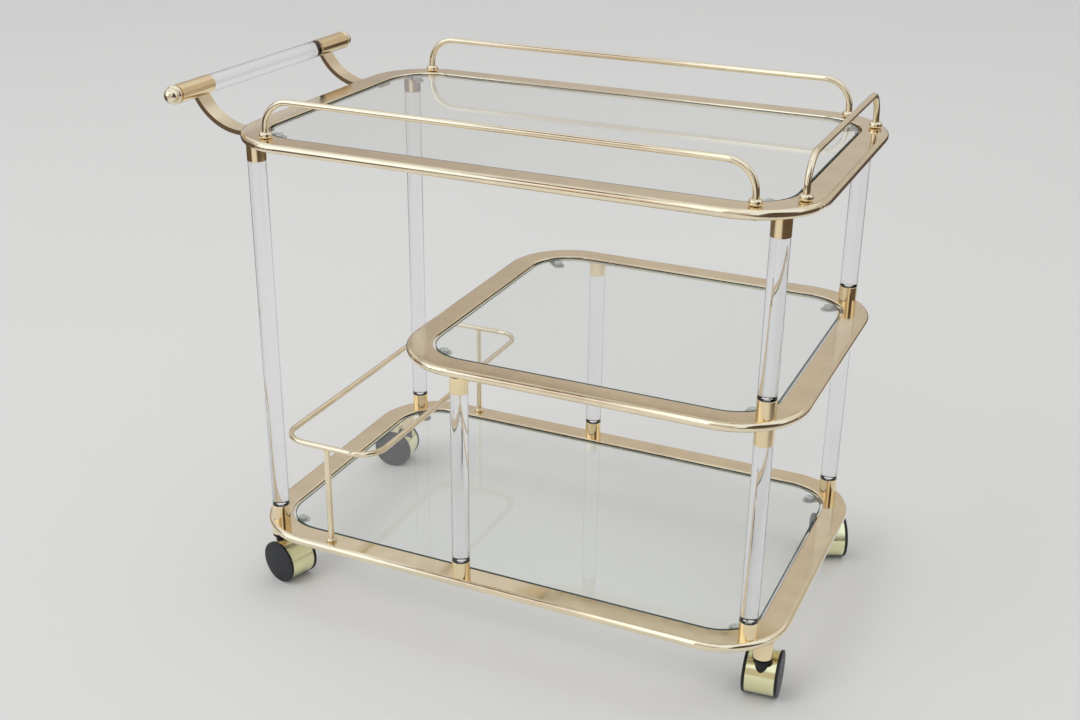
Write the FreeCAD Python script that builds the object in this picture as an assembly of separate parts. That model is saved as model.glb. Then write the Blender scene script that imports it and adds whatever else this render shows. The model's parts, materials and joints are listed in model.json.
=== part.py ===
import FreeCAD, Part

import math
import os

# Serving trolley: three glass shelves in gold tube frames, clear acrylic posts, twin-wheel casters.
# Millimetres. The floor is z = 0 and +Z is up. The handle is at the -X end and -Y is the front.
# Everything is placed about the middle of the long frames; save() then moves it along X, so that
# the origin lies on the floor under the middle of the whole trolley.

Vector = FreeCAD.Vector
UP = Vector(0, 0, 1)
ACROSS = Vector(0, 1, 0)

# ---- Driving dimensions ----

# Frames: rings of flattened tube with a flat top face and a rounded outer side
frame_length = 750.0
frame_depth = 480.0
middle_frame_length = 522.0
tube_width = 34.0
tube_height = 12.0
tube_wall = 1.5
outer_edge_radius = 5.5
inner_edge_radius = 2.0
least_edge_radius = 0.5
bend_radius = 78.0
drain_diameter = 4.0

# Heights of the frames' top faces above the floor
bottom_height = 100.0
middle_height = 396.5
top_height = 646.0

# Clear posts and the gold ferrules at their ends
rod_diameter = 23.0
ferrule_diameter = 24.0
ferrule_length = 22.5
ferrule_wall = 0.9
ferrule_base = 3.0
rim_chamfer = 0.3
spigot_clearance = 0.1
middle_post_x = -42.5
middle_post_outset = 2.5

# Glass shelves, and the tabs and pads that carry them
glass_thickness = 6.0
glass_drop = 1.5
glass_edge_gap = 3.5
glass_edge_chamfer = 0.8
tab_thickness = 1.5
tab_width = 16.0
tab_length = 27.0
tab_lap = 4.5
pad_diameter = 12.0
pad_inset = 12.0

# Fasteners
stud_diameter = 8.0
stud_depth = 20.0
thread_clearance = 0.1
hole_clearance = 0.25
boss_wall = 3.0
small_screw_diameter = 5.0
small_screw_depth = 15.0
screw_head_diameter = 13.0
screw_head_height = 5.0
screw_head_edge = 1.25
end_chamfer = 0.8
socket_width = 4.0
socket_depth = 2.5

# Gallery rails: bent round bar
bar_diameter = 8.0
rail_height = 47.5
rail_bend_radius = 35.0
rail_end_setback = 49.0
side_rail_inset = 8.0
end_rail_inset = 5.0
collar_diameter = 16.5
collar_height = 8.0
collar_rounding = 3.5

# Bottle rail: closed loop of the same bar on two posts
bottle_rail_rise = 140.5
bottle_rail_length = 140.0
bottle_rail_setback = 65.0
bottle_rail_bend = 34.0
bottle_rail_outset = 1.0
bottle_collar_diameter = 14.0
bottle_collar_height = 5.0
bottle_collar_rounding = 2.0
saddle_depth = 1.0

# Handle: acrylic grip between two gold sleeves on curved flat arms
handle_overhang = 78.0
handle_rise = 35.0
sleeve_diameter = 24.0
sleeve_wall = 1.5
sleeve_start = 130.0
sleeve_end = 197.0
grip_diameter = 23.0
grip_spigot_length = 40.0
cap_diameter = 25.0
cap_thickness = 7.5
cap_plug_length = 6.0
dome_diameter = 21.0
arm_inset = 74.0
arm_width = 25.0
arm_thickness = 6.0
arm_sweep = 66.0
arm_end_drop = 5.2
arm_foot_lap = 8.0
arm_screw_spacing = 13.0
arm_screw_head_diameter = 9.5
arm_screw_head_height = 3.0

# Casters
stem_turn = 27.0
stem_outset = 2.0
socket_diameter = 25.0
socket_length = 24.0
stem_diameter = 10.0
stem_rise = 6.0
stem_head_diameter = 14.0
stem_head_height = 3.0
running_clearance = 0.08
thrust_gap = 0.3
caster_trail = 17.0
wheel_diameter = 60.0
wheel_tread = 3.5
wheel_edge_radius = 0.8
wheel_dome = 0.8
wheel_gap = 17.6
wheel_shell = 3.0
drum_clearance = 1.0
hub_diameter = 16.0
axle_diameter = 6.0
axle_length = 40.0
hood_width = 37.0
hood_wall = 1.6
hood_inset = 1.0
hood_floor_gap = 7.5
hood_side_gap = 0.5
hood_seam_height = 37.0
hood_seam_width = 0.7
hood_seam_depth = 0.4
web_thickness = 8.0
boss_diameter = 16.4
boss_low = 20.0
boss_flare = 3.8
boss_rim_height = 0.8
notch_clearance = 0.4

# How each caster points at rest: the way its wheels trail, in degrees from +X
caster_headings = {
    "front_left": -17.0,
    "front_right": 95.0,
    "rear_left": 189.0,
    "rear_right": 115.0,
}

# ---- Derived sizes ----

line_x = frame_length / 2 - tube_width / 2
line_y = frame_depth / 2 - tube_width / 2
corner_x = line_x - bend_radius
corner_y = line_y - bend_radius
middle_line_left = line_x - (middle_frame_length - tube_width)
middle_corner_left = middle_line_left + bend_radius
diagonal = math.cos(math.radians(45))
post_x = corner_x + bend_radius * diagonal
post_y = corner_y + bend_radius * diagonal
middle_post_y = line_y + middle_post_outset
inner_corner_radius = bend_radius - tube_width / 2

rod_radius = rod_diameter / 2
ferrule_radius = ferrule_diameter / 2
ferrule_bore = ferrule_radius - ferrule_wall
spigot_radius = ferrule_bore - spigot_clearance
stud_radius = stud_diameter / 2
stud_bore = stud_radius + thread_clearance
stud_hole = stud_radius + hole_clearance
small_screw_radius = small_screw_diameter / 2
small_screw_bore = small_screw_radius + thread_clearance
small_screw_hole = small_screw_radius + hole_clearance
bar_radius = bar_diameter / 2
bar_hole = bar_radius + thread_clearance
rail_foot_x = line_x - rail_end_setback
rail_foot_y = line_y - side_rail_inset
end_rail_x = line_x - end_rail_inset
end_rail_foot_y = line_y - rail_end_setback
gallery_line = top_height + rail_height
bottle_line = bottom_height + bottle_rail_rise
bottle_rail_left = bottle_rail_setback - frame_length / 2
bottle_rail_right = bottle_rail_left + bottle_rail_length
bottle_post_x = bottle_rail_left + bottle_rail_length / 2
bottle_rail_side = line_y + bottle_rail_outset

sleeve_radius = sleeve_diameter / 2
sleeve_bore = sleeve_radius - sleeve_wall
grip_spigot_radius = sleeve_bore - spigot_clearance
handle_x = -frame_length / 2 - handle_overhang
handle_height = top_height + handle_rise
arm_position = line_y - arm_inset
arm_foot_line = top_height - tube_height - arm_thickness / 2
arm_climb = handle_height - arm_end_drop - arm_foot_line
arm_radius = arm_climb / (1 - math.cos(math.radians(arm_sweep)))

wheel_radius = wheel_diameter / 2
hood_radius = wheel_radius - hood_inset
hood_bore = hood_radius - hood_wall
drum_radius = hood_bore - drum_clearance
rim_start = hood_width / 2 + hood_side_gap
rim_end = rim_start + wheel_tread
drum_start = wheel_gap / 2
caster_width = 2 * (rim_end + wheel_dome)
stem_x = corner_x + (bend_radius + stem_outset) * math.cos(math.radians(stem_turn))
stem_y = corner_y + (bend_radius + stem_outset) * math.sin(math.radians(stem_turn))
socket_low = bottom_height - tube_height - socket_length
stem_radius = stem_diameter / 2
stem_bore = stem_radius + running_clearance
axle_radius = axle_diameter / 2
boss_radius = boss_diameter / 2
boss_top = socket_low - stem_head_height - thrust_gap



def caster_reach(place):
    """How far a caster reaches past its stem towards +X."""
    heading = math.radians(caster_headings[place])
    wheels = rim_end * abs(math.sin(heading)) + wheel_radius * abs(math.cos(heading))
    return wheels + caster_trail * math.cos(heading)


left_reach = cap_diameter / 2 - handle_x
right_reach = stem_x + max(caster_reach("front_right"), caster_reach("rear_right"))
frame_centre = Vector((left_reach - right_reach) / 2, 0, 0)

corner_posts = [(side * post_x, depth * post_y) for side in (-1, 1) for depth in (-1, 1)]
right_posts = [place for place in corner_posts if place[0] > 0]
middle_posts = [(middle_post_x, depth * middle_post_y) for depth in (-1, 1)]
stem_places = {
    "front_left": (-stem_x, -stem_y),
    "front_right": (stem_x, -stem_y),
    "rear_left": (-stem_x, stem_y),
    "rear_right": (stem_x, stem_y),
}
rail_feet = [(side * rail_foot_x, depth * rail_foot_y) for side in (-1, 1) for depth in (-1, 1)]
rail_feet += [(end_rail_x, depth * end_rail_foot_y) for depth in (-1, 1)]
bottle_posts = [(bottle_post_x, depth * bottle_rail_side) for depth in (-1, 1)]
arm_screws = [
    (-line_x, depth * arm_position + offset * arm_screw_spacing / 2)
    for depth in (-1, 1)
    for offset in (-1, 1)
]


# ---- Shape helpers ----

def direction(degrees):
    """Unit vector in the floor plane, measured from +X."""
    return Vector(math.cos(math.radians(degrees)), math.sin(math.radians(degrees)), 0)


def fused(shapes):
    """One shape from several that touch or overlap."""
    return shapes[0].fuse(shapes[1:]).removeSplitter()


def cylinder(x, y, low, high, radius):
    """Upright cylinder."""
    return Part.makeCylinder(radius, high - low, Vector(x, y, low), UP)


def outline(steps, to_space):
    """Closed wire of lines to (a, b) and arcs through (a, b) to (c, d)."""
    last = to_space(*steps[-1][-2:])
    edges = []
    for step in steps:
        end = to_space(*step[-2:])
        if len(step) == 4:
            edges.append(Part.Arc(last, to_space(*step[:2]), end).toShape())
        else:
            edges.append(Part.LineSegment(last, end).toShape())
        last = end
    return Part.Wire(edges)


def crown(radius, start, height):
    """Arc step of a shallow dome, from its rim at (radius, start) to its top on the axis."""
    sphere = (radius ** 2 + height ** 2) / (2 * abs(height))
    centre = start + height - math.copysign(sphere, height)
    middle = centre + math.copysign(math.sqrt(sphere ** 2 - radius ** 2 / 4), height)
    return radius / 2, middle, 0, start + height


def turned(steps, base, axis):
    """Solid of revolution: steps hold (radius, distance along the axis) from base."""
    side = Vector(1, 0, 0) if abs(axis.x) < 0.5 else Vector(0, 0, 1)
    face = Part.Face(outline(steps, lambda radius, along: base + side * radius + axis * along))
    return face.revolve(base, axis, 360)


def rounded_rectangle(low, high, radii, to_space):
    """Closed wire with rounded corners, radii in the order low-low, high-low, high-high, low-high."""
    (a, b), (c, d) = low, high
    r1, r2, r3, r4 = radii
    short = 1 - diagonal
    steps = [
        (a + r1 * short, b + r1 * short, a + r1, b),
        (c - r2, b),
        (c - r2 * short, b + r2 * short, c, b + r2),
        (c, d - r3),
        (c - r3 * short, d - r3 * short, c - r3, d),
        (a + r4, d),
        (a + r4 * short, d - r4 * short, a, d - r4),
        (a, b + r1),
    ]
    return outline(steps, to_space)


def swept_ring(section, left, right, depth, radius):
    """Sweep a section round a rounded rectangle in four quarter turns and four straight runs."""
    turns = [
        (right - radius, radius - depth, -90),
        (right - radius, depth - radius, 0),
        (left + radius, depth - radius, 90),
        (left + radius, radius - depth, 180),
    ]
    pieces = []
    for index, (x, y, start) in enumerate(turns):
        centre = Vector(x, y, 0)
        outward = direction(start)
        pieces.append(section(centre + outward * radius, outward).revolve(centre, UP, 90))
        outward = direction(start + 90)
        begin = centre + outward * radius
        next_x, next_y, _ = turns[(index + 1) % len(turns)]
        end = Vector(next_x, next_y, 0) + outward * radius
        pieces.append(section(begin, outward).extrude(end - begin))
    return fused(pieces)


def bent_bar(points, bend, radius):
    """Round bar along a path with square corners, each bent to the same radius."""
    pieces = []
    start = points[0]
    for before, corner, after in zip(points, points[1:], points[2:]):
        arriving = (corner - before).normalize()
        leaving = (after - corner).normalize()
        bend_start = corner - arriving * bend
        centre = bend_start + leaving * bend
        pieces.append(Part.makeCylinder(radius, (bend_start - start).Length, start, arriving))
        section = Part.Face(Part.Wire(Part.makeCircle(radius, bend_start, arriving)))
        pieces.append(section.revolve(centre, arriving.cross(leaving), 90))
        start = corner + leaving * bend
    last = points[-1]
    pieces.append(Part.makeCylinder(radius, (last - start).Length, start, (last - start).normalize()))
    return fused(pieces)


# ---- Fasteners ----

def screw(x, y, seat, head_radius, head_height, radius, length):
    """Button-head screw from below: the head lies under the seat and the shank points up."""
    steps = [
        (0, length),
        (radius - end_chamfer, length),
        (radius, length - end_chamfer),
        (radius, 0),
        (head_radius, 0),
        (head_radius, -screw_head_edge),
        crown(head_radius, -screw_head_edge, screw_head_edge - head_height),
    ]
    solid = turned(steps, Vector(x, y, seat), UP)
    corners = [direction(60 * turn) * (socket_width / 2) for turn in range(7)]
    floor = Vector(x, y, seat - head_height)
    recess = Part.Face(Part.makePolygon([floor + corner for corner in corners]))
    return solid.cut(recess.extrude(UP * socket_depth))


def stud(x, y, low, high):
    """Headless stud, chamfered at both ends."""
    steps = [
        (0, 0),
        (stud_radius - end_chamfer, 0),
        (stud_radius, end_chamfer),
        (stud_radius, high - low - end_chamfer),
        (stud_radius - end_chamfer, high - low),
        (0, high - low),
    ]
    return turned(steps, Vector(x, y, low), UP)


def stud_reach():
    """How far a stud stands out of a frame face, through the ferrule's base and into the rod."""
    return ferrule_base + stud_depth


def bottom_post_screws():
    under = bottom_height - tube_height
    head = screw_head_diameter / 2
    length = tube_height + stud_reach()
    places = corner_posts + middle_posts
    return [screw(x, y, under, head, screw_head_height, stud_radius, length) for x, y in places]


def middle_frame_studs():
    under = middle_height - tube_height
    low = under - stud_reach()
    long_studs = [stud(x, y, low, middle_height + stud_reach()) for x, y in right_posts]
    short_studs = [stud(x, y, low, middle_height - tube_wall) for x, y in middle_posts]
    return long_studs + short_studs


def top_frame_studs():
    under = top_height - tube_height
    return [stud(x, y, under - stud_reach(), top_height - tube_wall) for x, y in corner_posts]


def rail_screws(feet, frame_top):
    """Screws from under a frame into the feet of a rail or rail post."""
    under = frame_top - tube_height
    head = screw_head_diameter / 2
    length = tube_height + small_screw_depth
    sizes = (head, screw_head_height, small_screw_radius, length)
    return [screw(x, y, under, *sizes) for x, y in feet]


def handle_screws():
    seat = top_height - tube_height - arm_thickness
    head = arm_screw_head_diameter / 2
    length = arm_thickness + tube_height - tube_wall
    sizes = (head, arm_screw_head_height, small_screw_radius, length)
    return [screw(x, y, seat, *sizes) for x, y in arm_screws]


# ---- Frames ----

def tube_section(top, inset):
    """Function that gives the tube's section at a point of its middle line, shrunk by inset."""
    half = tube_width / 2 - inset
    inner = max(inner_edge_radius - inset, least_edge_radius)
    outer = outer_edge_radius - inset
    low = (-half, inset - tube_height)
    high = (half, -inset)

    radii = (inner, outer, outer, inner)

    def section(point, outward):
        level = Vector(point.x, point.y, top)
        return Part.Face(rounded_rectangle(low, high, radii, lambda u, v: level + outward * u + UP * v))

    return section


def frame(top, left, bosses, through_holes, lower_holes):
    """Hollow ring with bosses (x, y, hole radius, goes through) and plain holes (x, y, radius)."""
    low = top - tube_height
    inner_low = low + tube_wall
    inner_high = top - tube_wall
    lap = tube_wall / 2
    skin = swept_ring(tube_section(top, 0), left, line_x, line_y, bend_radius)
    hollow = swept_ring(tube_section(top, tube_wall), left, line_x, line_y, bend_radius)
    ring = skin.cut(hollow)
    pillars = [
        cylinder(x, y, inner_low - lap, inner_high + lap, hole + boss_wall)
        for x, y, hole, _ in bosses
    ]
    ring = ring.fuse(pillars)
    drills = [
        cylinder(x, y, low, top if through else inner_high, hole)
        for x, y, hole, through in bosses
    ]
    drills += [cylinder(x, y, low, top, hole) for x, y, hole in through_holes]
    drills += [cylinder(x, y, low, inner_low, hole) for x, y, hole in lower_holes]
    drills.append(cylinder(left, 0, low, inner_low, drain_diameter / 2))
    return ring.cut(drills)


def bottom_frame():
    bosses = [(x, y, stud_hole, True) for x, y in corner_posts + middle_posts]
    rail_holes = [(x, y, small_screw_hole) for x, y in bottle_posts]
    stem_holes = [(x, y, stem_radius + thread_clearance) for x, y in stem_places.values()]
    return frame(bottom_height, -line_x, bosses, rail_holes, stem_holes)


def middle_frame():
    bosses = [(x, y, stud_hole, True) for x, y in right_posts]
    bosses += [(x, y, stud_bore, False) for x, y in middle_posts]
    return frame(middle_height, middle_line_left, bosses, [], [])


def top_frame():
    bosses = [(x, y, stud_bore, False) for x, y in corner_posts]
    bosses += [(x, y, small_screw_bore, False) for x, y in arm_screws]
    rail_holes = [(x, y, small_screw_hole) for x, y in rail_feet]
    return frame(top_height, -line_x, bosses, rail_holes, [])


# ---- Shelves ----

def glass(top, left):
    """Pane inside a frame, a little below its top face, with ground edges."""
    side = tube_width / 2 + glass_edge_gap
    radius = inner_corner_radius - glass_edge_gap
    upper = top - glass_drop
    low = (left + side, side - line_y)
    high = (line_x - side, line_y - side)
    under = upper - glass_thickness
    wire = rounded_rectangle(low, high, (radius,) * 4, lambda x, y: Vector(x, y, under))
    pane = Part.Face(wire).extrude(UP * glass_thickness)
    rims = [edge for edge in pane.Edges if abs(edge.BoundBox.ZLength) < glass_edge_chamfer]
    return pane.makeChamfer(glass_edge_chamfer, rims)


def shelf_corners(left):
    """Centres of a frame's four bends, each with the direction of its corner."""
    return [
        (left, -corner_y, 225),
        (left, corner_y, 135),
        (corner_x, -corner_y, -45),
        (corner_x, corner_y, 45),
    ]


def glass_tab(top, x, y, heading):
    """Plate lapped under the frame's inner edge, square outside and round inside."""
    under = top - tube_height
    outward = direction(heading)
    sideways = UP.cross(outward)
    far = inner_corner_radius + tab_lap
    half = tab_width / 2
    round_start = far - tab_length + half
    steps = [
        (far, -half),
        (far, half),
        (round_start, half),
        (far - tab_length, 0, round_start, -half),
    ]
    base = Vector(x, y, under - tab_thickness)
    plate = Part.Face(outline(steps, lambda u, v: base + outward * u + sideways * v))
    return plate.extrude(UP * tab_thickness)


def glass_pad(top, x, y, heading):
    """Clear disc between a tab and the glass."""
    place = Vector(x, y, 0) + direction(heading) * (inner_corner_radius - pad_inset)
    glass_under = top - glass_drop - glass_thickness
    return cylinder(place.x, place.y, top - tube_height, glass_under, pad_diameter / 2)


def on_every_shelf(make):
    """The same piece at the four corners of the three frames."""
    shelves = [
        (bottom_height, -corner_x),
        (middle_height, middle_corner_left),
        (top_height, -corner_x),
    ]
    return [make(top, *corner) for top, left in shelves for corner in shelf_corners(left)]


# ---- Posts ----

def ferrule(x, y, seat, axis):
    """Cup that stands on a frame face and takes the end of a rod."""
    steps = [
        (stud_hole, 0),
        (ferrule_radius, 0),
        (ferrule_radius, ferrule_length - rim_chamfer),
        (ferrule_radius - rim_chamfer, ferrule_length),
        (ferrule_bore, ferrule_length),
        (ferrule_bore, ferrule_base),
        (stud_hole, ferrule_base),
    ]
    return turned(steps, Vector(x, y, seat), axis)


def bottom_ferrules():
    return [ferrule(x, y, bottom_height, UP) for x, y in corner_posts + middle_posts]


def middle_ferrules():
    lower = [ferrule(x, y, middle_height - tube_height, -UP) for x, y in right_posts + middle_posts]
    upper = [ferrule(x, y, middle_height, UP) for x, y in right_posts]
    return lower + upper


def top_ferrules():
    return [ferrule(x, y, top_height - tube_height, -UP) for x, y in corner_posts]


def post_rod(place, low, high):
    """Clear rod between two frame faces: full size outside its ferrules, turned down inside them."""
    x, y = place
    body = cylinder(x, y, low + ferrule_length, high - ferrule_length, rod_radius)
    core = cylinder(x, y, low + ferrule_base, high - ferrule_base, spigot_radius)
    depth = stud_reach() + end_chamfer
    low_drill = cylinder(x, y, low, low + depth, stud_bore)
    high_drill = cylinder(x, y, high - depth, high, stud_bore)
    return fused([body, core]).cut([low_drill, high_drill])


# ---- Rails ----

def with_foot_holes(bar, feet, seat):
    """Bar with a blind threaded hole up each foot."""
    depth = small_screw_depth + end_chamfer
    return bar.cut([cylinder(x, y, seat, seat + depth, small_screw_bore) for x, y in feet])


def gallery_rail(feet):
    """Rail that stands on two feet of the top frame."""
    (x1, y1), (x2, y2) = feet
    points = [
        Vector(x1, y1, top_height),
        Vector(x1, y1, gallery_line),
        Vector(x2, y2, gallery_line),
        Vector(x2, y2, top_height),
    ]
    return with_foot_holes(bent_bar(points, rail_bend_radius, bar_radius), feet, top_height)


def collars(feet, seat, diameter, height, rounding):
    """Bead round each foot of a rail or rail post."""
    beads = []
    for x, y in feet:
        ring = cylinder(x, y, seat, seat + height, diameter / 2)
        rims = [edge for edge in ring.Edges if abs(edge.BoundBox.ZLength) < rounding]
        beads.append(ring.makeFillet(rounding, rims).cut(cylinder(x, y, seat, seat + height, bar_hole)))
    return beads


def bottle_rail():
    def section(point, outward):
        level = Vector(point.x, point.y, bottle_line)
        return Part.Face(Part.Wire(Part.makeCircle(bar_radius, level, UP.cross(outward))))

    ends = (bottle_rail_left, bottle_rail_right)
    return swept_ring(section, *ends, bottle_rail_side, bottle_rail_bend)


def bottle_rail_posts():
    """Upright bars whose tops are hollowed to fit the loop."""
    loop = bottle_rail()
    top = bottle_line - bar_radius + saddle_depth
    bars = [cylinder(x, y, bottom_height, top, bar_radius).cut(loop) for x, y in bottle_posts]
    return [with_foot_holes(bar, [place], bottom_height) for bar, place in zip(bars, bottle_posts)]


# ---- Handle ----

def handle_sleeve(side):
    """Tube round one end of the grip; side is -1 at the front and 1 at the rear."""
    base = Vector(handle_x, side * sleeve_start, handle_height)
    length = sleeve_end - sleeve_start
    tube = Part.makeCylinder(sleeve_radius, length, base, ACROSS * side)
    return tube.cut(Part.makeCylinder(sleeve_bore, length, base, ACROSS * side))


def handle_cap(side):
    """Rounded flange with a domed end, a plug in the sleeve and a stud into the grip."""
    base = Vector(handle_x, side * sleeve_end, handle_height)
    flange = cap_diameter / 2
    round_edge = cap_thickness / 2
    dome = dome_diameter / 2
    stud_end = sleeve_start + grip_spigot_length - stud_depth - sleeve_end
    steps = [
        (0, stud_end),
        (stud_radius, stud_end),
        (stud_radius, -cap_plug_length),
        (grip_spigot_radius, -cap_plug_length),
        (grip_spigot_radius, 0),
        (flange - round_edge, 0),
        (flange, round_edge, flange - round_edge, cap_thickness),
        (dome, cap_thickness),
        (dome * diagonal, cap_thickness + dome * diagonal, 0, cap_thickness + dome),
    ]
    return turned(steps, base, ACROSS * side)


def handle_grip():
    """Clear rod between the sleeves, turned down inside them and drilled for the caps' studs."""
    reach = sleeve_start + grip_spigot_length
    base = Vector(handle_x, 0, handle_height)
    body_start = base - ACROSS * sleeve_start
    body = Part.makeCylinder(grip_diameter / 2, 2 * sleeve_start, body_start, ACROSS)
    core = Part.makeCylinder(grip_spigot_radius, 2 * reach, base - ACROSS * reach, ACROSS)
    depth = stud_depth + end_chamfer
    drills = [
        Part.makeCylinder(stud_bore, depth, base + ACROSS * side * reach, ACROSS * -side)
        for side in (-1, 1)
    ]
    return fused([body, core]).cut(drills)


def handle_arm(side):
    """Flat bar: a foot under the top frame that curves out and up to the sleeve."""
    foot_end = arm_foot_lap - line_x
    bend_x = handle_x + arm_radius * math.sin(math.radians(arm_sweep))
    bend_z = arm_foot_line + arm_radius
    half = arm_thickness / 2

    def on_arc(radius, turn):
        angle = math.radians(turn)
        return bend_x - radius * math.sin(angle), bend_z - radius * math.cos(angle)

    outer = arm_radius + half
    inner = arm_radius - half
    steps = [
        (foot_end, arm_foot_line - half),
        (bend_x, arm_foot_line - half),
        on_arc(outer, arm_sweep / 2) + on_arc(outer, arm_sweep),
        on_arc(inner, arm_sweep),
        on_arc(inner, arm_sweep / 2) + on_arc(inner, 0),
        (foot_end, arm_foot_line + half),
    ]
    near_edge = side * arm_position - arm_width / 2
    profile = Part.Face(outline(steps, lambda x, z: Vector(x, near_edge, z)))
    bar = profile.extrude(ACROSS * arm_width)
    sleeve_line = Vector(handle_x, near_edge, handle_height)
    sleeve_space = Part.makeCylinder(sleeve_radius, arm_width, sleeve_line, ACROSS)
    seat = arm_foot_line - half
    places = [(x, y) for x, y in arm_screws if y * side > 0]
    holes = [cylinder(x, y, seat, seat + arm_thickness, small_screw_hole) for x, y in places]
    return bar.cut([sleeve_space] + holes)


# ---- Casters: modelled with the stem on the Z axis and the wheels trailing towards +X ----

def axle_centre():
    return Vector(caster_trail, 0, wheel_radius)


def caster_socket(x, y):
    """Sleeve under the bottom frame that holds the stem."""
    top = bottom_height - tube_height
    tube = cylinder(x, y, socket_low, top, socket_diameter / 2)
    return tube.cut(cylinder(x, y, socket_low, top, stem_radius + thread_clearance))


def caster_stem(x, y):
    """Pin fixed in the socket, with a thrust flange above the caster and a head that keeps it on."""
    low = boss_low + stem_head_height + thrust_gap
    steps = [
        (0, boss_low),
        (stem_head_diameter / 2, boss_low),
        (stem_head_diameter / 2, boss_low + stem_head_height),
        (stem_radius, low - thrust_gap),
        (stem_radius, boss_top + thrust_gap),
        (stem_head_diameter / 2, boss_top + thrust_gap),
        (stem_head_diameter / 2, socket_low),
        (stem_radius, socket_low),
        (stem_radius, bottom_height - tube_height + stem_rise - end_chamfer),
        (stem_radius - end_chamfer, bottom_height - tube_height + stem_rise),
        (0, bottom_height - tube_height + stem_rise),
    ]
    return turned(steps, Vector(x, y, 0), UP)


def stem_boss(margin):
    """Round boss that flares out under the socket, grown by a margin for the notch round it."""
    radius = boss_radius + margin
    flare_end = boss_top - boss_rim_height
    flare_start = flare_end - boss_flare
    turn = boss_flare * (1 - diagonal)
    steps = [
        (0, boss_low),
        (radius, boss_low),
        (radius, flare_start),
        (radius + turn, flare_end - turn, radius + boss_flare, flare_end),
        (radius + boss_flare, boss_top + margin),
        (0, boss_top + margin),
    ]
    return turned(steps, Vector(0, 0, 0), UP)


def caster_hood():
    """Thin curved cover over both wheels, open below, notched round the stem boss."""
    start = axle_centre() - ACROSS * (hood_width / 2)
    shell = Part.makeCylinder(hood_radius, hood_width, start, ACROSS)
    shell = shell.cut(Part.makeCylinder(hood_bore, hood_width, start, ACROSS))
    box_corner = Vector(start.x - wheel_radius, start.y, 0)
    below = Part.makeBox(wheel_diameter, hood_width, hood_floor_gap, box_corner)
    rise = hood_seam_height - wheel_radius
    seam_x = caster_trail + math.sqrt(hood_radius ** 2 - rise ** 2) - hood_seam_depth
    seam_corner = Vector(seam_x, start.y, hood_seam_height)
    groove = Part.makeBox(wheel_radius, hood_width, hood_seam_width, seam_corner)
    return shell.cut([below, groove, stem_boss(notch_clearance)])


def caster_body():
    """Upright web between the wheels with the axle's bore and the stem's boss."""
    start = axle_centre() - ACROSS * (web_thickness / 2)
    web = Part.makeCylinder(hood_bore - running_clearance, web_thickness, start, ACROSS)
    box_corner = Vector(start.x - wheel_radius, start.y, boss_low)
    web = web.common(Part.makeBox(wheel_diameter, web_thickness, wheel_diameter, box_corner))
    stem_hole = cylinder(0, 0, boss_low, boss_top, stem_bore)
    room_top = boss_low + stem_head_height + thrust_gap
    head_room = cylinder(0, 0, boss_low, room_top, stem_head_diameter / 2 + thrust_gap)
    axle_hole = Part.makeCylinder(axle_radius, web_thickness, start, ACROSS)
    return fused([web, stem_boss(0)]).cut([stem_hole, head_room, axle_hole])


def caster_axle():
    start = axle_centre() - ACROSS * (axle_length / 2)
    return Part.makeCylinder(axle_radius, axle_length, start, ACROSS)


def caster_wheel(side):
    """Cup-shaped wheel: a drum under the hood, a wider tread outside it and a slightly domed face."""
    bore = axle_radius + running_clearance
    hub = hub_diameter / 2
    edge = wheel_edge_radius
    face = wheel_radius - edge
    turn = edge * (1 - diagonal)
    disc = rim_start - wheel_shell
    bore_end = axle_length / 2 + thrust_gap
    steps = [
        (bore, drum_start),
        (hub, drum_start),
        (hub, disc),
        (drum_radius - wheel_shell, disc),
        (drum_radius - wheel_shell, drum_start),
        (drum_radius, drum_start),
        (drum_radius, rim_start),
        (wheel_radius, rim_start),
        (wheel_radius, rim_end - edge),
        (wheel_radius - turn, rim_end - turn, face, rim_end),
        crown(face, rim_end, wheel_dome),
        (0, bore_end),
        (bore, bore_end),
    ]
    return turned(steps, axle_centre(), ACROSS * side)


def placed_caster(shape, place):
    """Turn a caster piece to its rest heading and set it on its stem."""
    x, y = stem_places[place]
    turned_piece = shape.copy()
    turned_piece.rotate(Vector(0, 0, 0), UP, caster_headings[place])
    turned_piece.translate(Vector(x, y, 0))
    return turned_piece


# ---- Output: one file per sub-part ----

def save(name, shape):
    """Write a solid, or a group of like solids, as one sub-part."""
    solid = Part.makeCompound(shape) if isinstance(shape, list) else shape
    solid = solid.copy()
    solid.translate(frame_centre)
    solid.exportStep("parts/" + name + ".step")


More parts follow.
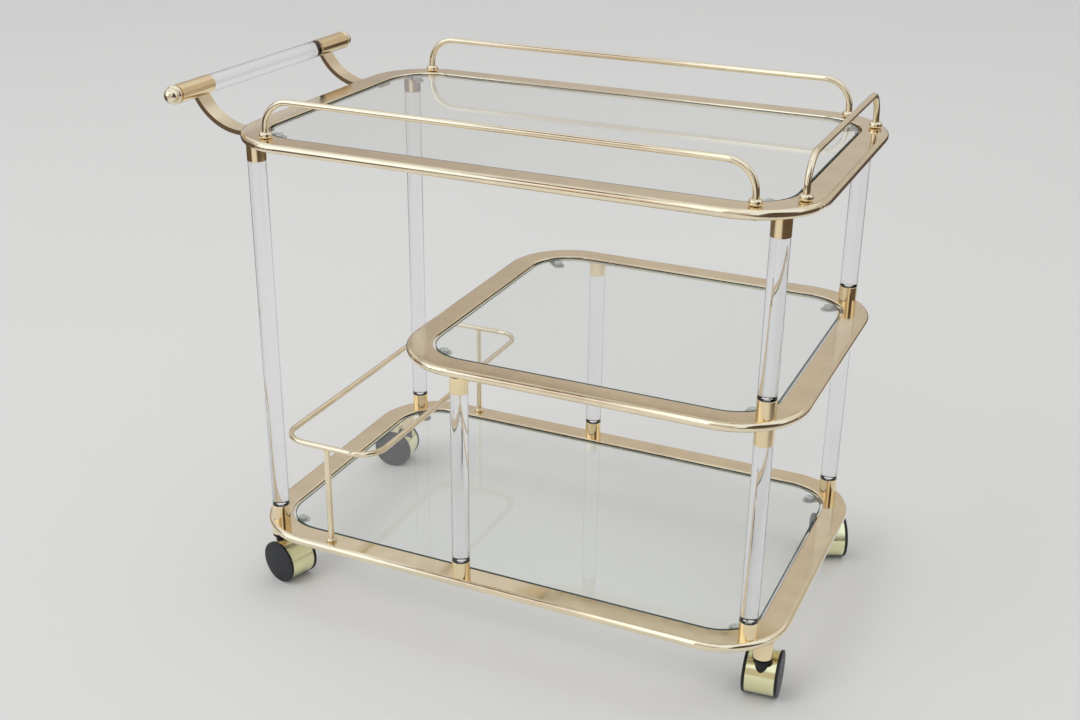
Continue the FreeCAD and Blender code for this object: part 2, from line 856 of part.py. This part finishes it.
def build():
    os.makedirs("parts", exist_ok=True)
    under_middle = middle_height - tube_height
    under_top = top_height - tube_height

    save("bottom_frame", bottom_frame())
    save("middle_frame", middle_frame())
    save("top_frame", top_frame())
    save("bottom_glass", glass(bottom_height, -line_x))
    save("middle_glass", glass(middle_height, middle_line_left))
    save("top_glass", glass(top_height, -line_x))
    save("glass_tabs", on_every_shelf(glass_tab))
    save("glass_pads", on_every_shelf(glass_pad))

    for depth_name, depth in (("front", -1), ("rear", 1)):
        left = (-post_x, depth * post_y)
        right = (post_x, depth * post_y)
        middle = (middle_post_x, depth * middle_post_y)
        feet = [(side * rail_foot_x, depth * rail_foot_y) for side in (-1, 1)]
        save(depth_name + "_left_rod", post_rod(left, bottom_height, under_top))
        save(depth_name + "_right_lower_rod", post_rod(right, bottom_height, under_middle))
        save(depth_name + "_right_upper_rod", post_rod(right, middle_height, under_top))
        save(depth_name + "_middle_rod", post_rod(middle, bottom_height, under_middle))
        save(depth_name + "_gallery_rail", gallery_rail(feet))
        save(depth_name + "_handle_arm", handle_arm(depth))

    save("bottom_frame_ferrules", bottom_ferrules())
    save("middle_frame_ferrules", middle_ferrules())
    save("top_frame_ferrules", top_ferrules())
    save("bottom_post_screws", bottom_post_screws())
    save("middle_frame_studs", middle_frame_studs())
    save("top_frame_studs", top_frame_studs())

    end_feet = [(end_rail_x, depth * end_rail_foot_y) for depth in (-1, 1)]
    sizes = (collar_diameter, collar_height, collar_rounding)
    save("end_gallery_rail", gallery_rail(end_feet))
    save("gallery_collars", collars(rail_feet, top_height, *sizes))
    save("gallery_screws", rail_screws(rail_feet, top_height))

    save("bottle_rail", bottle_rail())
    save("bottle_rail_posts", bottle_rail_posts())
    sizes = (bottle_collar_diameter, bottle_collar_height, bottle_collar_rounding)
    save("bottle_rail_collars", collars(bottle_posts, bottom_height, *sizes))
    save("bottle_rail_screws", rail_screws(bottle_posts, bottom_height))

    save("handle_sleeves", [handle_sleeve(side) for side in (-1, 1)])
    save("handle_caps", [handle_cap(side) for side in (-1, 1)])
    save("handle_grip", handle_grip())
    save("handle_screws", handle_screws())

    save("caster_sockets", [caster_socket(x, y) for x, y in stem_places.values()])
    save("caster_stems", [caster_stem(x, y) for x, y in stem_places.values()])
    for place in stem_places:
        save(place + "_caster_hood", placed_caster(caster_hood(), place))
        save(place + "_caster_body", placed_caster(caster_body(), place))
        save(place + "_caster_axle", placed_caster(caster_axle(), place))
        save(place + "_caster_left_wheel", placed_caster(caster_wheel(1), place))
        save(place + "_caster_right_wheel", placed_caster(caster_wheel(-1), place))


build()
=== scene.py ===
import json
import math

import bpy
from mathutils import Matrix, Vector

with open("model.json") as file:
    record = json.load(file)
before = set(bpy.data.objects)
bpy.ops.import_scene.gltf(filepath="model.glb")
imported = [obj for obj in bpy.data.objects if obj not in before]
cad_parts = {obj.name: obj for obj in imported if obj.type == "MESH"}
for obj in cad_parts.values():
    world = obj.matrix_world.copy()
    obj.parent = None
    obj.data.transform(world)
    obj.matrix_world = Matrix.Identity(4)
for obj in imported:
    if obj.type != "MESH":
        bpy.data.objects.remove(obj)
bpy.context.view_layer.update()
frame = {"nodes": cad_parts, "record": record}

# Serving trolley with glass shelves, clear acrylic posts and polished gold fittings.
# Metres, in the CAD frame: the floor is z = 0, the handle is at the -X end and -Y is the front.

# ---- Camera: solved from the photograph's frame of 1080 x 720; angles in degrees ----

CAMERA_PLACE = Vector((0.7341, -1.6292, 1.0982))
CAMERA_AZIMUTH = 23.969
CAMERA_ELEVATION = 23.660
CAMERA_ROLL = 0.679
CAMERA_LENS = 47.37
SENSOR_WIDTH = 36.0

# ---- Colours, linear ----

GOLD = (0.84, 0.70, 0.48)
WARM_GOLD = (0.88, 0.68, 0.40)
HOOD_GOLD = (0.84, 0.77, 0.45)
BRASS = (0.78, 0.60, 0.34)
NICKEL = (0.55, 0.54, 0.52)
ZINC = (0.60, 0.60, 0.60)
GLASS_FACE = (0.950, 0.975, 0.965)
# Dark green of the glass edges: partly the ground edge's own colour, partly painted shade of the gap
# round each panel.
GLASS_EDGE_AND_SHADE = (0.050, 0.095, 0.085)
GLASS_SHADOW = (0.994, 0.998, 0.996)
ACRYLIC = (0.975, 0.970, 0.985)
# Painted shade along the outlines of the clear posts and, paler, of the grip.
POST_EDGE_SHADE = (0.120, 0.105, 0.120)
GRIP_EDGE_SHADE = (0.620, 0.600, 0.620)
ACRYLIC_SHADOW = (0.900, 0.900, 0.905)
SOFT_CLEAR = (0.80, 0.83, 0.82)
WHEEL_BLACK = (0.012, 0.011, 0.012)
BODY_BLACK = (0.010, 0.010, 0.011)
FLOOR = (0.665, 0.662, 0.655)
BACKGROUND = (0.690, 0.690, 0.690)
# Painted reflections of the floor: paler and bluer as if in daylight, and dark beyond the sheet;
# only mirrored rays see them.
PAINTED_FLOOR_REFLECTION = (0.750, 0.800, 0.860)
PAINTED_DARK_FLOOR_REFLECTION = (0.110, 0.080, 0.060)

# ---- Finishes ----

# Roughness from the shiniest to the dullest spot of a surface.
MIRROR_POLISH = (0.05, 0.13)
WARM_POLISH = (0.08, 0.17)
HOOD_POLISH = (0.10, 0.20)
BRASS_POLISH = (0.15, 0.30)
DULL_NICKEL = (0.25, 0.42)
DULL_ZINC = (0.45, 0.60)
SATIN_WHEEL = (0.32, 0.46)
MATT_BODY = (0.42, 0.58)

CLOUDY_PAD = (0.2, 0.4)

# Roughness that the fine grain adds at most, and that smudges bring to clear faces.
METAL_HAZE = 0.02
PLASTIC_HAZE = 0.06
GLASS_SMUDGE = 0.03
ACRYLIC_SMUDGE = 0.035

# Shares by which a surface's tone changes between its spots.
METAL_WEAR = 0.08
ACRYLIC_CLOUD = 0.03
PAD_CLOUD = 0.12
SCUFF_LIGHTNESS = 0.9

# The grain's height beside the clouds' height in the metal's relief.
GRAIN_RELIEF = 0.25

# A glass panel's ground edges: their normal's greatest Z, their roughness and their cloudiness.
EDGE_TILT = 0.9
EDGE_ROUGHNESS = 0.18
EDGE_CLOUD = 0.75

GLASS_IOR = 1.5
ACRYLIC_IOR = 1.49
PAD_IOR = 1.45

# The nodes that are a warmer gold than the frames, besides every set of ferrules.
WARM_NODES = ("handle_sleeves", "caster_sockets")

# ---- Floor ----

FLOOR_SIDE = 40.0
FLOOR_CLOUD = 0.015

# The pale sheet's soft edges in the floor's painted reflection, as metal mirrors them, in metres
# from the middle.
SHEET_SIDE = (0.95, 1.30)
SHEET_BACK = (1.10, 1.60)

# ---- Light ----

WORLD_STRENGTH = 0.84

# The lamps' aim, and each lamp's name, place, side in metres and power in watts.
LAMP_AIM = Vector((0.0, 0.0, 0.35))
LAMPS = (
    ("key", Vector((-2.6, -4.2, 4.6)), 3.0, 95.0),
    ("top", Vector((0.4, 0.6, 5.5)), 4.0, 32.0),
)

# What polished metal mirrors above the floor: soft patches of the room. Each is given as its
# span along X (that part of the unit direction), its span in degrees round the X axis (0 is
# level in front, 90 straight up, 180 level behind), the soft margin of both, and its colour.
# Later patches lie over earlier ones, and the wall shows wherever there is none.
WALL = (0.600, 0.575, 0.555)
ROOM_PATCHES = (
    ((-1.10, -0.52), (130, 200), (0.20, 20), (0.50, 0.46, 0.44)),
    ((-1.10, 1.10), (100, 140), (0.10, 10), (0.84, 0.88, 0.95)),
    ((-1.10, 1.10), (10, 110), (0.10, 12), (1.00, 1.13, 1.32)),
    ((-0.90, -0.42), (-12, 58), (0.05, 14), (1.30, 1.50, 1.80)),
    ((-0.41, -0.31), (-12, 26), (0.03, 8), (0.80, 0.66, 0.62)),
    ((-0.41, -0.31), (56, 84), (0.03, 6), (0.20, 0.11, 0.08)),
    ((-0.29, -0.20), (-5, 70), (0.03, 10), (1.50, 1.70, 1.95)),
    ((-0.15, 0.30), (-20, 30), (0.08, 10), (0.58, 0.53, 0.49)),
    ((0.62, 0.97), (-40, 62), (0.10, 12), (0.10, 0.070, 0.058)),
    ((-1.10, -0.93), (-60, 200), (0.10, 16), (0.50, 0.46, 0.43)),
)

# How far the patches' borders waver: along X, and in radians round it.
WAVER_ALONG = 0.03
WAVER_ROUND = 0.06


# ---- Node helpers ----

class Nodes:
    """A material's or world's node tree with short calls to add and link nodes."""

    def __init__(self, owner):
        owner.use_nodes = True
        self.tree = owner.node_tree
        self.tree.nodes.clear()

    def feed(self, socket, value):
        """Link another node's output to the socket, or set the socket to a plain value."""
        if isinstance(value, bpy.types.NodeSocket):
            self.tree.links.new(value, socket)
        else:
            socket.default_value = value

    def add(self, kind, inputs=(), **settings):
        node = self.tree.nodes.new(kind)
        for name, value in settings.items():
            setattr(node, name, value)
        for socket, value in dict(inputs).items():
            self.feed(node.inputs[socket], value)
        return node

    def object_place(self):
        """Place on the object, in metres."""
        return self.add("ShaderNodeTexCoord").outputs["Object"]

    def split(self, vector):
        """The X, Y and Z of a vector, by name."""
        return self.add("ShaderNodeSeparateXYZ", {"Vector": vector}).outputs

    def noise(self, scale, detail, stretch=(1, 1, 1), vector=None):
        source = vector if vector is not None else self.object_place()
        mapped = self.add("ShaderNodeMapping", {"Vector": source, "Scale": stretch})
        inputs = {"Vector": mapped.outputs["Vector"], "Scale": scale, "Detail": detail}
        return self.add("ShaderNodeTexNoise", inputs).outputs["Fac"]

    def spread(self, value, low, high, start=0.3, end=0.7):
        """Map a value between start and end to the range low to high."""
        inputs = {"Value": value, "From Min": start, "From Max": end, "To Min": low, "To Max": high}
        return self.add("ShaderNodeMapRange", inputs).outputs["Result"]

    def maths(self, operation, *values):
        node = self.add("ShaderNodeMath", dict(enumerate(values)), operation=operation)
        return node.outputs["Value"]

    def blend(self, factor, first, second):
        """Colour between first and second."""
        node = self.add("ShaderNodeMix", data_type="RGBA")
        sockets = {socket.identifier: socket for socket in (*node.inputs, *node.outputs)}
        self.feed(sockets["Factor_Float"], factor)
        self.feed(sockets["A_Color"], first)
        self.feed(sockets["B_Color"], second)
        return sockets["Result_Color"]

    def bump(self, height, strength, distance):
        inputs = {"Height": height, "Strength": strength, "Distance": distance}
        return self.add("ShaderNodeBump", inputs).outputs["Normal"]

    def shader(self, **inputs):
        """Principled shader, its sockets named with _ for a space."""
        named = {name.replace("_", " "): value for name, value in inputs.items()}
        return self.add("ShaderNodeBsdfPrincipled", named).outputs["BSDF"]

    def window(self, value, low, high, soft):
        """One between low and high, falling to zero over the soft margin outside."""
        rise = self.spread(value, 0.0, 1.0, low - soft, low)
        fall = self.spread(value, 1.0, 0.0, high, high + soft)
        return self.maths("MINIMUM", rise, fall)

    def ray(self, *kinds):
        """One for rays of any of these kinds."""
        rays = self.add("ShaderNodeLightPath").outputs
        hit = rays[kinds[0]]
        for kind in kinds[1:]:
            hit = self.maths("MAXIMUM", hit, rays[kind])
        return hit

    def mirrored(self):
        """One for rays that a surface mirrors, zero for rays that pass through clear parts."""
        mirrored = self.maths("SUBTRACT", self.ray("Is Glossy Ray"), self.ray("Is Transmission Ray"))
        return self.maths("MAXIMUM", mirrored, 0.0)

    def finish(self, shader):
        self.add("ShaderNodeOutputMaterial", {"Surface": shader})


def opaque(colour):
    return (*colour, 1.0)


def shade(colour, factor):
    """The colour made darker or lighter, and opaque."""
    return opaque(min(1.0, part * factor) for part in colour)


def new_material(name):
    material = bpy.data.materials.new(name)
    return material, Nodes(material)


# ---- Materials ----

def polished_metal(name, colour, roughness):
    """Plated metal: cloudy tone, fine polishing marks and faint handling smears."""
    material, nodes = new_material(name)
    cloud = nodes.noise(scale=22.0, detail=4.0)
    grain = nodes.noise(scale=900.0, detail=2.0, stretch=(1, 1, 0.35))
    smear = nodes.noise(scale=70.0, detail=5.0, stretch=(1, 0.4, 1))
    worn = shade(colour, 1 - METAL_WEAR)
    fresh = shade(colour, 1 + METAL_WEAR / 2)
    haze = nodes.spread(grain, 0, METAL_HAZE)
    relief = nodes.maths("ADD", nodes.maths("MULTIPLY", grain, GRAIN_RELIEF), cloud)
    shader = nodes.shader(
        Base_Color=nodes.blend(nodes.spread(cloud, 0, 1), worn, fresh),
        Metallic=1.0,
        Roughness=nodes.maths("ADD", nodes.spread(smear, *roughness), haze),
        Normal=nodes.bump(relief, strength=0.06, distance=0.0006),
    )
    nodes.finish(shader)
    return material


def let_light_by(nodes, shader, tint):
    """Let shadow and bounced light straight through, as thin clear parts nearly do."""
    passing = nodes.ray("Is Shadow Ray", "Is Diffuse Ray")
    clear = nodes.add("ShaderNodeBsdfTransparent", {"Color": tint}).outputs["BSDF"]
    mix = nodes.add("ShaderNodeMixShader", {0: passing, 1: shader, 2: clear})
    return mix.outputs["Shader"]


def shelf_glass():
    """Clear float glass, faintly smudged; its ground edges are dark green, partly with painted
    shade, which is least at the back as if lit from behind.
    """
    material, nodes = new_material("shelf_glass_clear")
    normal = nodes.split(nodes.add("ShaderNodeTexCoord").outputs["Normal"])
    upright = nodes.maths("LESS_THAN", nodes.maths("ABSOLUTE", normal["Z"]), EDGE_TILT)
    # Painted shade: edges facing the front and sides are dark, edges facing the back nearly clear,
    # as if lit from behind.
    painted_side_shade = nodes.spread(normal["Y"], low=1.0, high=0.1, start=0.4, end=0.9)
    edge_and_side_shade = nodes.maths("MULTIPLY", upright, painted_side_shade)
    mark = nodes.noise(scale=9.0, detail=6.0)
    smudge = nodes.spread(mark, 0.0, GLASS_SMUDGE, start=0.5, end=0.8)
    ground = nodes.maths("MULTIPLY", edge_and_side_shade, EDGE_ROUGHNESS)
    clouded = nodes.maths("MULTIPLY", edge_and_side_shade, EDGE_CLOUD)
    ripple = nodes.noise(scale=3.0, detail=1.0)
    shader = nodes.shader(
        Base_Color=nodes.blend(edge_and_side_shade, opaque(GLASS_FACE), opaque(GLASS_EDGE_AND_SHADE)),
        Roughness=nodes.maths("MAXIMUM", smudge, ground),
        Transmission_Weight=nodes.maths("SUBTRACT", 1.0, clouded),
        IOR=GLASS_IOR,
        Normal=nodes.bump(ripple, strength=0.02, distance=0.001),
    )
    nodes.finish(let_light_by(nodes, shader, opaque(GLASS_SHADOW)))
    return material


def clear_acrylic(name, edge_shade_colour):
    """Cast acrylic: very clear, darker in outline by painted shade, with faint ripples drawn along
    the rod.
    """
    material, nodes = new_material(name)
    ripple = nodes.noise(scale=60.0, detail=2.0, stretch=(1, 1, 0.06))
    mark = nodes.noise(scale=40.0, detail=6.0)
    facing = nodes.add("ShaderNodeLayerWeight", {"Blend": 0.5}).outputs["Facing"]
    # Painted shade: the colour darkens where the surface turns away from view, drawing the rod's
    # outline.
    painted_edge_shade = nodes.spread(facing, 0.0, 1.0, start=0.52, end=0.82)
    clear = nodes.blend(mark, opaque(ACRYLIC), shade(ACRYLIC, 1 - ACRYLIC_CLOUD))
    shader = nodes.shader(
        Base_Color=nodes.blend(painted_edge_shade, clear, opaque(edge_shade_colour)),
        Roughness=nodes.spread(mark, 0.0, ACRYLIC_SMUDGE, start=0.45, end=0.8),
        Transmission_Weight=1.0,
        IOR=ACRYLIC_IOR,
        Normal=nodes.bump(ripple, strength=0.05, distance=0.0008),
    )
    nodes.finish(let_light_by(nodes, shader, opaque(ACRYLIC_SHADOW)))
    return material


def soft_clear():
    """Clear soft pad, slightly cloudy."""
    material, nodes = new_material("clear_soft_pad")
    cloud = nodes.noise(scale=300.0, detail=3.0)
    shader = nodes.shader(
        Base_Color=nodes.blend(cloud, opaque(SOFT_CLEAR), shade(SOFT_CLEAR, 1 - PAD_CLOUD)),
        Roughness=nodes.spread(cloud, *CLOUDY_PAD),
        Transmission_Weight=0.7,
        IOR=PAD_IOR,
        Normal=nodes.bump(cloud, strength=0.1, distance=0.0003),
    )
    nodes.finish(shader)
    return material


def moulded_black(name, colour, roughness):
    """Black moulded plastic: fine grain, slight tone change and scuffs."""
    material, nodes = new_material(name)
    grain = nodes.noise(scale=1400.0, detail=2.0)
    scuff = nodes.noise(scale=90.0, detail=8.0, stretch=(1, 1, 0.3))
    scuffed = nodes.spread(scuff, 0, 1, start=0.5, end=0.8)
    haze = nodes.spread(grain, 0, PLASTIC_HAZE)
    shader = nodes.shader(
        Base_Color=nodes.blend(scuffed, opaque(colour), shade(colour, 1 + SCUFF_LIGHTNESS)),
        Roughness=nodes.maths("ADD", nodes.spread(scuff, *roughness), haze),
        Specular_IOR_Level=0.3,
        Normal=nodes.bump(nodes.maths("ADD", grain, scuff), strength=0.12, distance=0.0003),
    )
    nodes.finish(shader)
    return material


# ---- Dress the CAD nodes: a node takes the finish of its material slot, but for a few ----

def dress_nodes():
    finishes = {
        "gold_plate": polished_metal("gold_polished", GOLD, MIRROR_POLISH),
        "hood_gold": polished_metal("gold_hood", HOOD_GOLD, HOOD_POLISH),
        "nickel_plate": polished_metal("nickel_dull", NICKEL, DULL_NICKEL),
        "brass_screw": polished_metal("brass_screw_head", BRASS, BRASS_POLISH),
        "zinc_steel": polished_metal("zinc_plated", ZINC, DULL_ZINC),
        "shelf_glass": shelf_glass(),
        "clear_acrylic": clear_acrylic("clear_acrylic_post", POST_EDGE_SHADE),
        "clear_pad": soft_clear(),
        "black_plastic": moulded_black("black_body", BODY_BLACK, MATT_BODY),
        "black_wheel": moulded_black("black_wheel_satin", WHEEL_BLACK, SATIN_WHEEL),
    }
    warm = polished_metal("gold_warm", WARM_GOLD, WARM_POLISH)
    grip = clear_acrylic("clear_acrylic_grip", GRIP_EDGE_SHADE)
    for part in frame["record"]["subparts"]:
        name = part["node"]
        finish = finishes[part["material_slot"]]
        if "ferrules" in name or name in WARM_NODES:
            finish = warm
        if name == "handle_grip":
            finish = grip
        slots = frame["nodes"][name].data.materials
        slots.clear()
        slots.append(finish)


# ---- Stage: floor, world, lamps and camera ----

def floor_material():
    """Pale sheet; for the rays that metal mirrors it is painted paler and bluer, as painted
    daylight, and painted dark beyond its edges, as a painted reflection of a dark room floor.
    """
    material, nodes = new_material("pale_floor")
    cloud = nodes.noise(scale=1.3, detail=2.0, stretch=(-1, -1, 1))
    place = nodes.split(nodes.object_place())
    past_side = nodes.spread(nodes.maths("ABSOLUTE", place["X"]), 0, 1, *SHEET_SIDE)
    past_back = nodes.spread(place["Y"], 0, 1, *SHEET_BACK)
    dark_reflection_mask = nodes.maths("MAXIMUM", past_side, past_back)
    pale = nodes.blend(cloud, shade(FLOOR, 1 - FLOOR_CLOUD), shade(FLOOR, 1 + FLOOR_CLOUD))
    # Painted reflection: colours that only the rays that metal mirrors see.
    mirrored = nodes.blend(dark_reflection_mask, opaque(PAINTED_FLOOR_REFLECTION), opaque(PAINTED_DARK_FLOOR_REFLECTION))
    shader = nodes.shader(
        Base_Color=nodes.blend(nodes.mirrored(), pale, mirrored),
        Roughness=0.9,
        Specular_IOR_Level=0.1,
    )
    nodes.finish(shader)
    return material


def set_floor():
    half = FLOOR_SIDE / 2
    corners = [(-half, -half, 0), (half, -half, 0), (half, half, 0), (-half, half, 0)]
    mesh = bpy.data.meshes.new("floor")
    mesh.from_pydata(corners, [], [(0, 1, 2, 3)])
    mesh.materials.append(floor_material())
    made = bpy.data.objects.new("floor", mesh)
    bpy.context.scene.collection.objects.link(made)


def room_colour(nodes):
    """Colour that a mirror sees in each direction above the floor."""
    way = nodes.add("ShaderNodeTexCoord").outputs["Generated"]
    part = nodes.split(way)
    waver = nodes.noise(scale=4.0, detail=3.0, vector=way)
    along = nodes.maths("ADD", part["X"], nodes.spread(waver, -WAVER_ALONG, WAVER_ALONG))
    forward = nodes.maths("MULTIPLY", part["Y"], -1.0)
    round_x = nodes.maths("ARCTAN2", part["Z"], forward)
    turned = nodes.maths("ADD", round_x, nodes.spread(waver, -WAVER_ROUND, WAVER_ROUND))
    colour = opaque(WALL)
    for span, sweep, (soft_span, soft_sweep), tone in ROOM_PATCHES:
        across = nodes.window(along, *span, soft_span)
        up = nodes.window(turned, *map(math.radians, sweep), math.radians(soft_sweep))
        colour = nodes.blend(nodes.maths("MULTIPLY", across, up), colour, opaque(tone))
    return colour


def set_world():
    """Even light; the camera and clear parts see a pale surround, metal sees the room."""
    world = bpy.data.worlds.new("studio")
    bpy.context.scene.world = world
    nodes = Nodes(world)
    seen = nodes.ray("Is Camera Ray", "Is Transmission Ray")
    light = (WORLD_STRENGTH, WORLD_STRENGTH, WORLD_STRENGTH)
    colour = nodes.blend(seen, opaque(light), opaque(BACKGROUND))
    colour = nodes.blend(nodes.mirrored(), colour, room_colour(nodes))
    background = nodes.add("ShaderNodeBackground", {"Color": colour, "Strength": 1.0})
    nodes.add("ShaderNodeOutputWorld", {"Surface": background.outputs["Background"]})


def softbox(name, place, side, power):
    """Square lamp turned to the trolley, which metal and clear parts don't show."""
    lamp = bpy.data.lights.new(name, "AREA")
    lamp.shape = "SQUARE"
    lamp.size = side
    lamp.energy = power
    made = bpy.data.objects.new(name, lamp)
    made.visible_glossy = False
    made.visible_transmission = False
    turn = (LAMP_AIM - place).to_track_quat("-Z", "Y")
    made.matrix_world = Matrix.Translation(place) @ turn.to_matrix().to_4x4()
    bpy.context.scene.collection.objects.link(made)


def set_camera():
    azimuth = math.radians(CAMERA_AZIMUTH)
    elevation = math.radians(CAMERA_ELEVATION)
    back = Vector((
        math.sin(azimuth) * math.cos(elevation),
        -math.cos(azimuth) * math.cos(elevation),
        math.sin(elevation),
    ))
    right = (-back).cross(Vector((0, 0, 1))).normalized()
    up = right.cross(-back)
    roll = Matrix.Rotation(math.radians(CAMERA_ROLL), 3, "Z")
    turn = Matrix((right, up, back)).transposed() @ roll
    data = bpy.data.cameras.new("camera")
    data.sensor_width = SENSOR_WIDTH
    data.lens = CAMERA_LENS
    camera = bpy.data.objects.new("camera", data)
    camera.matrix_world = Matrix.Translation(CAMERA_PLACE) @ turn.to_4x4()
    bpy.context.scene.collection.objects.link(camera)
    bpy.context.scene.camera = camera


dress_nodes()
set_floor()
set_world()
for lamp_row in LAMPS:
    softbox(*lamp_row)
set_camera()
bpy.context.scene.view_settings.view_transform = "Standard"
